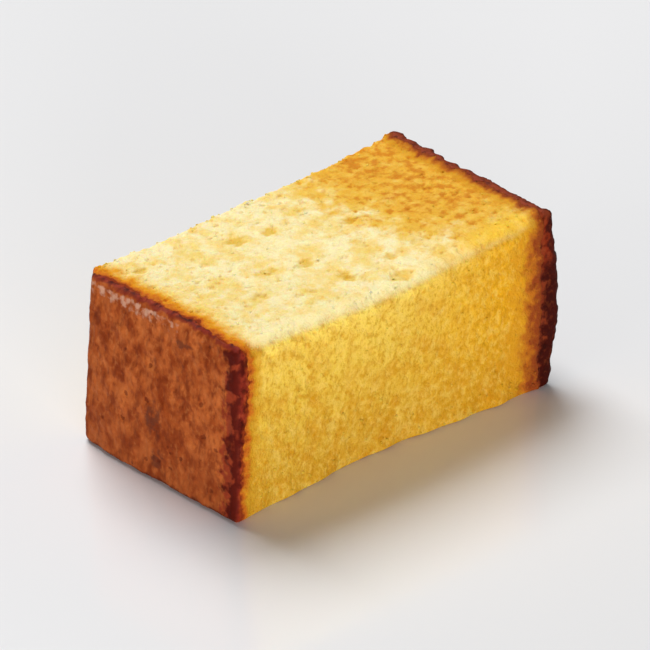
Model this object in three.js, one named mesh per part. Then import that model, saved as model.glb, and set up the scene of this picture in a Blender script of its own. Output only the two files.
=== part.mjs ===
// A cut slice of castella sponge cake, in millimetres, lying on one cut side.
// X runs from the left crust to the right crust, Y from the near side to the far side, Z up.
// The two ends carry the baked crusts of the cake; the other four sides are cuts through the crumb.
// The slice is one solid: a box of named size, whose edges are rounded and whose sides then lean,
// flare, bulge and sink by the amounts that a knife and a soft cake leave.

import * as THREE from "three";

// Driving dimensions.
const LENGTH = 57.6; // from the skin of one crust to the skin of the other
const WIDTH = 31.5; // between the two cut sides that stand up
const HEIGHT = 26; // between the cut side on top and the one it lies on

// Edges and crust.
const EDGE_RADIUS = 0.9; // rounding where two sides meet
const CRUST_THICKNESS = 1.9; // crust seen on a cut side, from its skin to the crumb
const RIM_PROUD = 0.15; // a crust's rim stands this far out of the crumb
const RIM_FADE = 1.2; // length over which the rim drops down to the crumb

// The left crust: its foot and its top edge run nearly straight, the foot further out.
const LEFT_FOOT_OUT = 2.6; // the foot stands out by this much
const LEFT_FOOT_WORN = 0.5; // and by this much less at its far corner
const LEFT_WORN_FROM = 0.6; // where that starts, from -1 near to 1 far
const LEFT_TOP_OUT = 1.2; // the top edge stands out by this much at its two corners
const LEFT_TOP_HOLLOW = 0.2; // and by this much less at its middle
const LEFT_CROWN = 0.4; // bulge of the skin midway up

// The right crust: bulged midway up and tucked in at its foot.
const RIGHT_FOOT_IN = 2.4; // the foot is in by this much
const RIGHT_SKEW = 0.45; // the far edge is out and the near edge in by this much
const RIGHT_CROWN = 1.6; // bulge of the skin midway up

// The near side: its top edge bows out, and its foot flares out towards the right crust.
const NEAR_INSET = 0.7; // both edges start in by this much
const NEAR_TOP_BOW = 1.5; // bow of the top edge, from its ends to its middle
const NEAR_TOP_SKEW = 0.8; // the top edge is out at the right crust and in at the left by this much
const NEAR_FOOT_FLARE = 3.6; // flare of the foot at the right crust
const FLARE_START = -0.1; // where the flare starts, from -1 at the left crust to 1 at the right

// The far side: tucked in at its foot. It stands out towards the left crust, whose corner is worn.
const FAR_FOOT_IN = 0.9; // the foot is tucked in by this much
const FAR_LEFT_OUT = 0.9; // it stands out by this much at the left crust
const FAR_OUT_FROM = -0.4; // where that starts, from 1 at the right crust to -1 at the left
const FAR_OUT_FULL = -0.8; // and where it is full
const FAR_CORNER_WORN = 1.9; // the corner's top is worn back by this much, its foot not at all
const FAR_WORN_FROM = -0.9; // where the wear starts, by the same measure

// The top and the cuts.
const TOP_SINK = 0.25; // the crumb on top has sunk by this much between the two crusts
const KNIFE_WAVER = 0.15; // slow waver that the knife leaves on every cut side
const SIDE_WAVES = { along: 0.9, up: 0.35 }; // its waves on a side: in half the length, in the height
const TOP_WAVES = { along: 0.8, across: 0.3 }; // on the top: in half the length, in half the width
const TOP_WAVE_START = 0.7; // where the top's wave starts, in radians

// Relief of the baked skins: shallow dimples in slanted rows.
const SKIN_RELIEF = 0.22; // height of the relief
const SKIN_PITCH = 9; // spacing of the dimples across the width
const SKIN_SQUASH = 0.8; // spacing up the height, as a share of that across the width
const SKIN_SLANT = { rows: 0.6, files: 0.35 }; // slope of the two sets of rows
const SKIN_START = 1.3; // where the rows start, in radians

// Grid of the surface.
const ROUND_STEPS = 3; // steps in each rounded edge
const RIM_STEPS = 3; // steps from the rounded edge to the crumb behind a rim
const LENGTH_STEPS = 24; // steps between the two rims
const WIDTH_STEPS = 18; // steps between the rounded edges across the width
const HEIGHT_STEPS = 14; // steps between the rounded edges up the height

const CRUMB_COLOUR = 0xe4b648;
const CRUMB_ROUGHNESS = 0.75;

const TAU = 2 * Math.PI;
const { clamp, lerp, smoothstep } = THREE.MathUtils;

// Places of the grid lines along one axis, from -half to half: rounded edge, rim, middle, and back.
function stations(half, rimDepth, middleSteps) {
  const edge = [];
  for (let i = 0; i < ROUND_STEPS; i++) edge.push(half - (EDGE_RADIUS * i) / ROUND_STEPS);
  const rimSteps = rimDepth > 0 ? RIM_STEPS : 0;
  for (let i = 0; i < rimSteps; i++) edge.push(half - EDGE_RADIUS - (rimDepth * i) / RIM_STEPS);
  const inner = half - EDGE_RADIUS - rimDepth;
  const middle = [];
  for (let i = 0; i <= middleSteps; i++) middle.push(lerp(-inner, inner, i / middleSteps));
  return [...edge.map((place) => -place), ...middle, ...edge.reverse()];
}

// Moves a point of the sharp box onto the box with rounded edges.
function roundEdges(point, half) {
  const core = point.clone();
  for (const axis of ["x", "y", "z"]) {
    const reach = half[axis] - EDGE_RADIUS;
    core[axis] = clamp(point[axis], -reach, reach);
  }
  const out = point.clone().sub(core);
  return core.add(out.setLength(EDGE_RADIUS));
}

// Bulge of a skin: one midway up, none at the foot and the top edge.
function crown(height) {
  return 4 * height * (1 - height);
}

// How far the left crust stands out at across (-1 near to 1 far) and height (0 foot to 1 top).
function leftOut(across, height) {
  const foot = LEFT_FOOT_OUT - LEFT_FOOT_WORN * smoothstep(across, LEFT_WORN_FROM, 1);
  const top = LEFT_TOP_OUT - LEFT_TOP_HOLLOW * (1 - across ** 2);
  return lerp(foot, top, height) + LEFT_CROWN * crown(height) * (1 - across ** 2);
}

// How far the right crust stands out at the same measures.
function rightOut(across, height) {
  return RIGHT_SKEW * across - RIGHT_FOOT_IN * (1 - height) + RIGHT_CROWN * crown(height);
}

// How far the near side stands out at along (-1 left crust to 1 right crust) and height.
function nearOut(along, height) {
  const top = NEAR_TOP_SKEW * along + NEAR_TOP_BOW * (1 - along ** 2);
  const foot = NEAR_FOOT_FLARE * smoothstep(along, FLARE_START, 1);
  return lerp(foot, top, height) - NEAR_INSET;
}

// How far the far side stands out at the same measures.
function farOut(along, height) {
  const out = FAR_LEFT_OUT * smoothstep(-along, -FAR_OUT_FROM, -FAR_OUT_FULL);
  const worn = FAR_CORNER_WORN * height * smoothstep(-along, -FAR_WORN_FROM, 1);
  return out - worn - FAR_FOOT_IN * (1 - height);
}

// Relief of a baked skin, which fades out inside the slice.
function skinRelief(point) {
  const row = (point.y + SKIN_SLANT.rows * point.z) / SKIN_PITCH;
  const file = (point.z - SKIN_SLANT.files * point.y) / (SKIN_SQUASH * SKIN_PITCH);
  const dimples = Math.sin(TAU * row) * Math.sin(TAU * file + SKIN_START);
  const skin = LENGTH / 2;
  return SKIN_RELIEF * dimples * smoothstep(Math.abs(point.x), skin - EDGE_RADIUS, skin);
}

// How far a crust's rim stands proud of the crumb, which has shrunk a little as it dried.
function rimOut(point) {
  const depth = LENGTH / 2 - Math.abs(point.x);
  return RIM_PROUD * (1 - smoothstep(depth, CRUST_THICKNESS, CRUST_THICKNESS + RIM_FADE));
}

// Place on the slice of a point of the rounded box, whose foot is at zero height. What one end or
// side stands out fades away towards the opposite one, and the foot stays flat under the weight.
function place(point) {
  const along = point.x / (LENGTH / 2);
  const across = point.y / (WIDTH / 2);
  const height = point.z / HEIGHT;
  const toRight = (1 + along) / 2;
  const toFar = (1 + across) / 2;
  const rim = rimOut(point);

  const ends = toRight * rightOut(across, height) - (1 - toRight) * leftOut(across, height);
  const relief = Math.sign(along) * skinRelief(point);

  const sides = toFar * farOut(along, height) - (1 - toFar) * nearOut(along, height) + across * rim;
  const sideWave = SIDE_WAVES.along * along + SIDE_WAVES.up * height;
  const sideWaver = KNIFE_WAVER * Math.sin(TAU * sideWave) * across;

  const sink = TOP_SINK * (1 - along ** 4);
  const topWave = TOP_WAVES.along * along + TOP_WAVES.across * across;
  const topWaver = KNIFE_WAVER * Math.sin(TAU * topWave + TOP_WAVE_START);

  return new THREE.Vector3(
    point.x + ends + relief,
    point.y + sides + sideWaver,
    point.z + height * (rim - sink + topWaver),
  );
}

// The whole skin of the slice, with its origin at the middle of its foot.
function sliceGeometry() {
  const half = new THREE.Vector3(LENGTH / 2, WIDTH / 2, HEIGHT / 2);
  const rimDepth = CRUST_THICKNESS + RIM_FADE - EDGE_RADIUS;
  const lines = {
    x: stations(half.x, rimDepth, LENGTH_STEPS),
    y: stations(half.y, 0, WIDTH_STEPS),
    z: stations(half.z, 0, HEIGHT_STEPS),
  };
  const [xSteps, ySteps, zSteps] = [lines.x, lines.y, lines.z].map((line) => line.length - 1);
  const geometry = new THREE.BoxGeometry(1, 1, 1, xSteps, ySteps, zSteps);
  const position = geometry.getAttribute("position");
  const point = new THREE.Vector3();
  for (let i = 0; i < position.count; i++) {
    point.fromBufferAttribute(position, i);
    for (const axis of ["x", "y", "z"]) {
      const steps = lines[axis].length - 1;
      point[axis] = lines[axis][Math.round((point[axis] + 0.5) * steps)];
    }
    const rounded = roundEdges(point, half);
    rounded.z += half.z;
    position.setXYZ(i, ...place(rounded));
  }
  geometry.computeVertexNormals();
  geometry.computeBoundingBox();
  const { min, max } = geometry.boundingBox;
  return geometry.translate(-(min.x + max.x) / 2, -(min.y + max.y) / 2, -min.z);
}

const crumb = new THREE.MeshStandardMaterial({
  color: CRUMB_COLOUR,
  roughness: CRUMB_ROUGHNESS,
  metalness: 0,
});

const castella = new THREE.Mesh(sliceGeometry(), crumb);
castella.name = "castella_slice";

const slice = new THREE.Group();
slice.add(castella);

export default slice;
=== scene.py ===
"""A cut slice of castella sponge cake, lying on one of its cut sides.

The crumb is a closed body with real pores, each of its two ends carries a slab of baked crust, and
small crumbs cling to the cuts. The CAD solid gives the outer form. Shapes are worked out in
millimetres and become metres only where a mesh is made: X runs from the left crust to the right
crust, Y from the near side to the far side, and Z up.
"""

import logging
import math
from dataclasses import asdict, dataclass
from enum import Enum
from functools import partial

import bpy
import numpy as np
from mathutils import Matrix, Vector


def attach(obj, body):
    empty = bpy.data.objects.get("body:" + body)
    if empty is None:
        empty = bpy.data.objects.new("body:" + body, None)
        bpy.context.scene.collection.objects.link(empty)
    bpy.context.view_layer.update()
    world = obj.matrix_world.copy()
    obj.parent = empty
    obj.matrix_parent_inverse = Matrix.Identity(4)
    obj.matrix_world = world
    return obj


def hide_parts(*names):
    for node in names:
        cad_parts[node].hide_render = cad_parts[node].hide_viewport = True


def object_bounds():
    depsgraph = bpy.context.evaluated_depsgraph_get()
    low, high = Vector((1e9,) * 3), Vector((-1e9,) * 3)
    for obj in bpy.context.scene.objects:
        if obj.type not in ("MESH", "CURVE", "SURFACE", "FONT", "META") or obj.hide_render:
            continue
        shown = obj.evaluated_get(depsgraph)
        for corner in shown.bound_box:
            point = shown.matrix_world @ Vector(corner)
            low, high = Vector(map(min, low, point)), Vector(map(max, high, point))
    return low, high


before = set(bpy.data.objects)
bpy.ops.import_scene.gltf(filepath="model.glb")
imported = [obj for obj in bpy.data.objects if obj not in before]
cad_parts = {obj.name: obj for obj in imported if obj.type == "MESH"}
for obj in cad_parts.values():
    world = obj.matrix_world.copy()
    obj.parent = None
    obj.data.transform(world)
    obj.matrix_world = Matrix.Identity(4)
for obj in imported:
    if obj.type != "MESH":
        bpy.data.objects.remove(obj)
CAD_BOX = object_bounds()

MM = 0.001
TAU = 2 * math.pi
SOLID = "castella_slice"
BODY = "root"
WAVE_SPREAD = (0.6, 1.4)  # rates of the waves in a waver, as shares of the mean one
NOISE_RANGE = (0.3, 0.7)  # where the values of a noise node mostly lie
TINY = 1e-9  # least length that is divided by

# Kind of socket that takes a value of each type; an input without a value takes a mesh.
SOCKET_KINDS = {
    float: "NodeSocketFloat",
    int: "NodeSocketInt",
    tuple: "NodeSocketVector",
    bpy.types.Material: "NodeSocketMaterial",
    type(None): "NodeSocketGeometry",
}

Sockets = dict[str, bpy.types.NodeSocket]
Points = np.ndarray
Range = tuple[float, float]
Triple = tuple[float, float, float]

log = logging.getLogger("castella")


def linear(code: str) -> tuple[float, float, float, float]:
    """Turns a colour to the one that nodes take.

    Args:
        code: sRGB colour as #rrggbb.

    Returns:
        The linear colour, with an alpha of 1.
    """
    parts = [int(code[i : i + 2], 16) / 255 for i in (1, 3, 5)]
    red, green, blue = (
        part / 12.92 if part <= 0.04045 else ((part + 0.055) / 1.055) ** 2.4 for part in parts
    )
    return red, green, blue, 1.0


def add_node(
    tree: bpy.types.NodeTree, kind: str, links: dict[str | int, object], **settings: object
) -> bpy.types.Node:
    """Adds a node, sets it and feeds its inputs.

    Args:
        tree: Node tree that gets the node.
        kind: Blender's name for the kind of node.
        links: Name or place of an input, and the value, node or output that feeds it.
        settings: Properties of the node.

    Returns:
        The new node.
    """
    node = tree.nodes.new(kind)
    for name, value in settings.items():
        setattr(node, name, value)
    usable = [socket for socket in node.inputs if socket.enabled]
    for key, value in links.items():
        named = (socket for socket in usable if socket.name == key)
        socket = usable[key] if isinstance(key, int) else next(named)
        if isinstance(value, bpy.types.Node):
            value = next(output for output in value.outputs if output.enabled)
        if isinstance(value, bpy.types.NodeSocket):
            tree.links.new(value, socket)
        else:
            socket.default_value = value
    return node


def ease(value: Points, start: float, end: float) -> Points:
    """Smooth step.

    Args:
        value: Values to step over.
        start: Value where the result is 0.
        end: Value where the result is 1.

    Returns:
        Values from 0 to 1.
    """
    share = np.clip((value - start) / (end - start), 0, 1)
    return share * share * (3 - 2 * share)


def waver(places: Points, pitch: float, seed: int, waves: int = 24) -> Points:
    """Smooth uneven field, a sum of plane waves in random directions.

    Args:
        places: Places in millimetres, one a row, with two or three numbers each.
        pitch: Spacing of its swells in millimetres.
        seed: Seed of the waves.
        waves: Number of waves.

    Returns:
        A value for each place, mostly from -1 to 1.
    """
    chance = np.random.default_rng(seed)
    direction = chance.normal(size=(waves, places.shape[1]))
    direction /= np.linalg.norm(direction, axis=1, keepdims=True)
    rate = direction * chance.uniform(*WAVE_SPREAD, (waves, 1)) / pitch
    start = chance.uniform(0, TAU, waves)
    return np.sin(TAU * places @ rate.T + start).sum(1) / math.sqrt(waves)


def mesh_object(
    name: str, points: Points, faces: list[np.ndarray], values: dict[str, np.ndarray]
) -> bpy.types.Object:
    """Makes an object at the origin from a closed mesh, and turns its faces outwards.

    Args:
        name: Name of the object.
        points: Places in millimetres, one a row.
        faces: Tables of point numbers, one for each number of corners.
        values: Name of each number kept on the points, and the numbers.

    Returns:
        The object, linked to the scene.
    """
    volume = 0.0
    for part in faces:
        first = points[part[:, 0]]
        for i in range(1, part.shape[1] - 1):
            across = np.cross(points[part[:, i]], points[part[:, i + 1]])
            volume += np.einsum("ij,ij->", first, across)
    if volume < 0:
        faces = [part[:, ::-1] for part in faces]
    mesh = bpy.data.meshes.new(name)
    mesh.from_pydata((points * MM).tolist(), [], [row for part in faces for row in part.tolist()])
    mesh.shade_smooth()
    for label, numbers in values.items():
        layer = mesh.attributes.new(label, "FLOAT", "POINT")
        layer.data.foreach_set("value", numbers.astype(np.float32))
    thing = bpy.data.objects.new(name, mesh)
    bpy.context.scene.collection.objects.link(thing)
    return thing


def box_shell(steps: tuple[int, int, int]) -> tuple[np.ndarray, np.ndarray]:
    """Closed grid over the six sides of a box.

    Args:
        steps: Number of squares along each axis.

    Returns:
        The lattice place of each point, and the four point numbers of each square.
    """
    squares = []
    for axis in range(3):
        u, v = (axis + 1) % 3, (axis + 2) % 3
        grids = np.meshgrid(range(steps[u]), range(steps[v]), indexing="ij")
        a, b = (grid.ravel() for grid in grids)
        for end in (0, steps[axis]):
            corners = np.full((a.size, 4, 3), end)
            turn = [(0, 0), (1, 0), (1, 1), (0, 1)]
            for corner, (du, dv) in enumerate(turn if end else turn[::-1]):
                corners[:, corner, u] = a + du
                corners[:, corner, v] = b + dv
            squares.append(corners)
    every = np.concatenate(squares).reshape(-1, 3)
    lattice, index = np.unique(every, axis=0, return_inverse=True)
    return lattice, index.reshape(-1, 4)


def geometry_tree(
    name: str, inputs: dict[str, object], output: str
) -> tuple[bpy.types.NodeTree, Sockets, bpy.types.NodeSocket]:
    """Starts a tree of geometry nodes.

    Args:
        name: Name of the tree.
        inputs: Value of each named input, or None for one that takes a mesh.
        output: Kind of socket of the one output.

    Returns:
        The tree, the outputs of its input node by name, and the socket that takes the result.
    """
    tree = bpy.data.node_groups.new(name, "GeometryNodeTree")
    for label, value in inputs.items():
        kind = SOCKET_KINDS[type(value)]
        socket = tree.interface.new_socket(label, in_out="INPUT", socket_type=kind)
        if value is not None:
            socket.default_value = value
    tree.interface.new_socket("Result", in_out="OUTPUT", socket_type=output)
    given = add_node(tree, "NodeGroupInput", {})
    result = add_node(tree, "NodeGroupOutput", {})
    return tree, {socket.name: socket for socket in given.outputs if socket.name}, result.inputs[0]


def millimetres(tree: bpy.types.NodeTree) -> bpy.types.Node:
    """Adds the two nodes that give the place of each point in millimetres."""
    links = {0: add_node(tree, "GeometryNodeInputPosition", {}), "Scale": 1 / MM}
    return add_node(tree, "ShaderNodeVectorMath", links, operation="SCALE")


def end_tree(
    tree: bpy.types.NodeTree,
    mesh: object,
    height: bpy.types.Node,
    material: bpy.types.NodeSocket,
    result: bpy.types.NodeSocket,
) -> None:
    """Ends a tree: moves each point along its normal, and dresses the plain mesh.

    Args:
        tree: Tree of geometry nodes.
        mesh: Node or output that gives the mesh.
        height: Node that gives the way outwards in millimetres.
        material: Output that gives the material.
        result: Socket that takes the result.
    """
    add = partial(add_node, tree)
    normal = add("GeometryNodeInputNormal", {})
    metres = add("ShaderNodeMath", {0: height, 1: MM}, operation="MULTIPLY")
    offset = add("ShaderNodeVectorMath", {0: normal, "Scale": metres}, operation="SCALE")
    moved = add("GeometryNodeSetPosition", {"Geometry": mesh, "Offset": offset})
    whole = add("GeometryNodeRealizeInstances", {"Geometry": moved})
    dressed = add("GeometryNodeSetMaterial", {"Geometry": whole, "Material": material})
    tree.links.new(dressed.outputs[0], result)


def grow(
    host: bpy.types.Object, tree: bpy.types.NodeTree, sizes: dict[str, object]
) -> bpy.types.Mesh:
    """Runs a tree of geometry nodes on an object.

    Args:
        host: Object whose mesh feeds the tree.
        tree: Tree to run.
        sizes: Value of each named input.

    Returns:
        The plain mesh that the tree makes.
    """
    modifier = host.modifiers.new(tree.name, "NODES")
    modifier.node_group = tree
    for item in tree.interface.items_tree:
        if item.item_type == "SOCKET" and item.in_out == "INPUT" and item.name in sizes:
            modifier[item.identifier] = sizes[item.name]
    state = bpy.context.evaluated_depsgraph_get()
    mesh = bpy.data.meshes.new_from_object(
        host.evaluated_get(state), preserve_all_data_layers=True, depsgraph=state
    )
    host.modifiers.remove(modifier)
    return mesh


@dataclass(frozen=True)
class SliceForm:
    """Outer form of the slice in millimetres, the same as that of the CAD solid.

    What an end or a side stands out fades away towards the opposite one. Places along the slice run
    from -1 at the left crust to 1 at the right one, places across it from -1 near to 1 far, and
    places up it from 0 at the foot to 1 at the top. Middle brings the foot's middle to the origin.
    """

    length: float = 57.6
    width: float = 31.5
    height: float = 26.0
    edge_radius: float = 0.9
    rim_proud: float = 0.15
    rim_depth: float = 1.9
    rim_fade: float = 1.2
    left_foot_out: float = 2.6
    left_foot_worn: float = 0.5
    left_worn_from: float = 0.6
    left_top_out: float = 1.2
    left_top_hollow: float = 0.2
    left_crown: float = 0.4
    right_foot_in: float = 2.4
    right_skew: float = 0.45
    right_crown: float = 1.6
    near_inset: float = 0.7
    near_top_bow: float = 1.5
    near_top_skew: float = 0.8
    near_foot_flare: float = 3.6
    flare_start: float = -0.1
    far_foot_in: float = 0.9
    far_left_out: float = 0.9
    far_out: Range = (0.4, 0.8)
    far_corner_worn: float = 1.9
    far_worn_from: float = 0.9
    top_sink: float = 0.25
    knife_waver: float = 0.15
    side_waves: Range = (0.9, 0.35)
    top_waves: Range = (0.8, 0.3)
    top_wave_start: float = 0.7
    middle: Range = (0.786, 1.007)

    def at_left(self, across: Points, up: Points) -> Points:
        """How far the left crust stands out.

        Args:
            across: Places across the slice.
            up: Places up the slice.

        Returns:
            Millimetres beyond the plain box.
        """
        foot = self.left_foot_out - self.left_foot_worn * ease(across, self.left_worn_from, 1)
        top = self.left_top_out - self.left_top_hollow * (1 - across**2)
        crown = 4 * up * (1 - up) * (1 - across**2)
        return foot + (top - foot) * up + self.left_crown * crown

    def at_right(self, across: Points, up: Points) -> Points:
        """How far the right crust stands out, in millimetres, at places across and up the slice."""
        crown = 4 * up * (1 - up)
        return self.right_skew * across - self.right_foot_in * (1 - up) + self.right_crown * crown

    def at_near(self, along: Points, up: Points) -> Points:
        """How far the near side stands out.

        Args:
            along: Places along the slice.
            up: Places up the slice.

        Returns:
            Millimetres beyond the plain box.
        """
        top = self.near_top_skew * along + self.near_top_bow * (1 - along**2)
        foot = self.near_foot_flare * ease(along, self.flare_start, 1)
        return foot + (top - foot) * up - self.near_inset

    def at_far(self, along: Points, up: Points) -> Points:
        """How far the far side stands out, in millimetres, at places along and up the slice."""
        worn = self.far_corner_worn * up * ease(-along, self.far_worn_from, 1)
        return self.far_left_out * ease(-along, *self.far_out) - worn - self.far_foot_in * (1 - up)

    def place(self, box: Points) -> Points:
        """Moves points of the plain box onto the slice.

        Args:
            box: Places in the box, whose foot is at zero height.

        Returns:
            Places on the slice, in the frame of the part.
        """
        x, y, z = box.T
        along, across, up = x / (self.length / 2), y / (self.width / 2), z / self.height
        to_right, to_far = (1 + along) / 2, (1 + across) / 2
        depth = self.length / 2 - np.abs(x)
        rim = self.rim_proud * (1 - ease(depth, self.rim_depth, self.rim_depth + self.rim_fade))
        ends = to_right * self.at_right(across, up) - (1 - to_right) * self.at_left(across, up)
        sides = to_far * self.at_far(along, up) - (1 - to_far) * self.at_near(along, up)
        side_wave = self.side_waves[0] * along + self.side_waves[1] * up
        side_waver = self.knife_waver * np.sin(TAU * side_wave)
        top_wave = self.top_waves[0] * along + self.top_waves[1] * across
        top_waver = self.knife_waver * np.sin(TAU * top_wave + self.top_wave_start)
        sink = self.top_sink * (1 - along**4)
        return np.stack(
            [
                x + ends + self.middle[0],
                y + sides + across * (rim + side_waver) + self.middle[1],
                z + up * (rim - sink + top_waver),
            ],
            axis=1,
        )


class End(Enum):
    """The two ends of the slice, as the sign of their X."""

    LEFT = -1
    RIGHT = 1


@dataclass(frozen=True)
class CrustShape:
    """How thick a crust is and how far it browns the crumb behind it, in millimetres.

    Thicknesses and bands are tables, each row a depth below the top edge and the size there. Frays
    are the pitches of its ragged inner side and their shares of it. A chip is a stretch of the top
    edge where the crust is thinner: the Y of none and of full at its near end and at its far end.
    Chip reach is the depth below the top edge of none and of full.
    """

    end: End
    thicknesses: tuple[Range, ...]
    bands: tuple[Range, ...]
    ragged: float
    seed: int
    frays: tuple[Range, ...] = ((3.2, 0.7), (1.1, 0.45))
    most_frayed: float = 1.4
    thinnest: float = 0.5
    chip: tuple[Range, Range] | None = None
    chip_depth: float = 0.6
    chip_reach: Range = (1.2, 0.48)

    def thickness(self, y: Points, z: Points) -> Points:
        """How thick the crust is.

        Args:
            y: Places across the slice.
            z: Places up the slice.

        Returns:
            The thicknesses in millimetres.
        """
        places = np.stack([y, z], axis=1)
        under = SliceForm.height - z
        uneven = 0.0
        for i, (pitch, share) in enumerate(self.frays):
            uneven = uneven + share * waver(places, pitch, self.seed + i)
        even = np.interp(under, *zip(*self.thicknesses))
        if self.chip:
            near, far = self.chip
            inside = ease(y, *near) * ease(y, *far)
            even = even - self.chip_depth * inside * ease(under, *self.chip_reach)
        most = self.most_frayed
        return np.maximum(even + self.ragged * np.clip(uneven, -most, most), self.thinnest)

    def bake(self, depth: Points, y: Points, z: Points) -> Points:
        """How the heat of the oven fades with depth.

        Args:
            depth: Distances from the skin.
            y: Places across the slice.
            z: Places up the slice.

        Returns:
            0 on the skin, 1 where the crust ends, and 1 more for each width of the browned band.
        """
        thick = self.thickness(y, z)
        band = np.interp(SliceForm.height - z, *zip(*self.bands))
        return np.where(depth < thick, depth / thick, 1 + (depth - thick) / band)


LEFT_SHAPE = CrustShape(
    End.LEFT,
    thicknesses=((0.0, 1.05), (1.5, 1.6), (4.0, 1.9), (10.0, 1.75), (15.0, 1.05), (26.0, 0.85)),
    bands=((0.0, 1.6), (3.0, 1.2), (12.0, 1.4), (26.0, 1.7)),
    ragged=0.28,
    seed=11,
    chip=((-13.5, -12.9), (-9.1, -9.7)),
)
RIGHT_SHAPE = CrustShape(
    End.RIGHT,
    thicknesses=((0.0, 1.5), (3.0, 2.5), (10.0, 3.3), (17.0, 3.3), (22.0, 2.9), (26.0, 2.4)),
    bands=((0.0, 0.75), (1.0, 1.0), (3.0, 2.1), (12.0, 2.2), (26.0, 2.1)),
    ragged=0.36,
    seed=23,
)


class Blend(Enum):
    """How a tint goes over the colour below it."""

    COVER = "MIX"
    DEEPEN = "MULTIPLY"


@dataclass(frozen=True)
class Grain:
    """Clouds from 0 to 1: their pitch in millimetres, and how far each axis draws them out."""

    name: str
    pitch: float
    detail: float = 2.0
    drawn: Triple = (1.0, 1.0, 1.0)


@dataclass(frozen=True)
class Dots:
    """Scattered dots, 1 at their middles: spacing and radius in millimetres, and the share kept."""

    name: str
    spacing: float
    radius: float
    share: float = 1.0


@dataclass(frozen=True)
class Frayed:
    """A number kept on the mesh, moved up and down by a grain, so that its borders fray."""

    name: str
    value: str
    grain: str
    by: float


@dataclass(frozen=True)
class Tint:
    """A colour laid where a pattern runs from start, where it is bare, to end, where it is full."""

    pattern: str
    start: float
    end: float
    colour: str
    strength: float = 1.0
    how: Blend = Blend.COVER


@dataclass(frozen=True)
class Coat:
    """A ground colour and the tints over it."""

    colour: str
    tints: tuple[Tint, ...] = ()


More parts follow.
